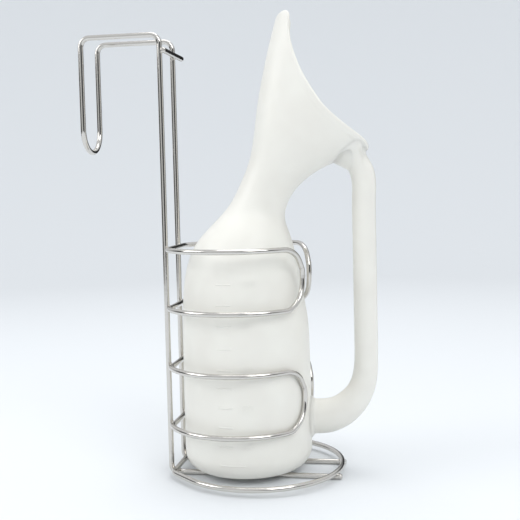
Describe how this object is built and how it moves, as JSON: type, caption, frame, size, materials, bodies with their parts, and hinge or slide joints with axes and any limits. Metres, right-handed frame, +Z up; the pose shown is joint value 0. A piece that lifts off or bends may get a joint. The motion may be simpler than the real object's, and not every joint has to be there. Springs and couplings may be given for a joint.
{
  "type": "urine bottle in wire bed holder",
  "caption": "Blow-moulded urine bottle with a funnel mouth, hollow side handle and volume marks, standing in a chromed wire holder that hooks over a bed rail.",
  "frame": {"origin": "on the floor the holder stands on, on the axis of the bottle's round body", "axes": "+Z up; +X from the bed hook to the open side of the hoops, where the bottle's handle comes out; +Y completes the right-handed set, so the volume marks face -Y. The bottle stands turned 7 degrees about +Z, from +X towards +Y, as in the picture"},
  "size_m": [0.2201, 0.1306, 0.3483],
  "materials": {
    "milky_polyethylene": "natural blow-moulded polyethylene, milky and slightly see-through, satin",
    "chromed_wire": "bright chrome plating on round drawn wire"
  },
  "bodies": {
    "holder": {"hanger_wire": "chromed_wire", "upper_hoop": "chromed_wire", "lower_hoop": "chromed_wire", "base_ring": "chromed_wire", "tie_rod": "chromed_wire"},
    "bottle": {"bottle_body": "milky_polyethylene", "bottle_neck": "milky_polyethylene", "bottle_mouth": "milky_polyethylene", "bottle_handle": "milky_polyethylene"}
  },
  "joints": [
    {"name": "bottle_lift", "type": "slide", "parent": "holder", "child": "bottle", "axis": [0, 0, 1], "range_m": [0, 0.18]}
  ]
}
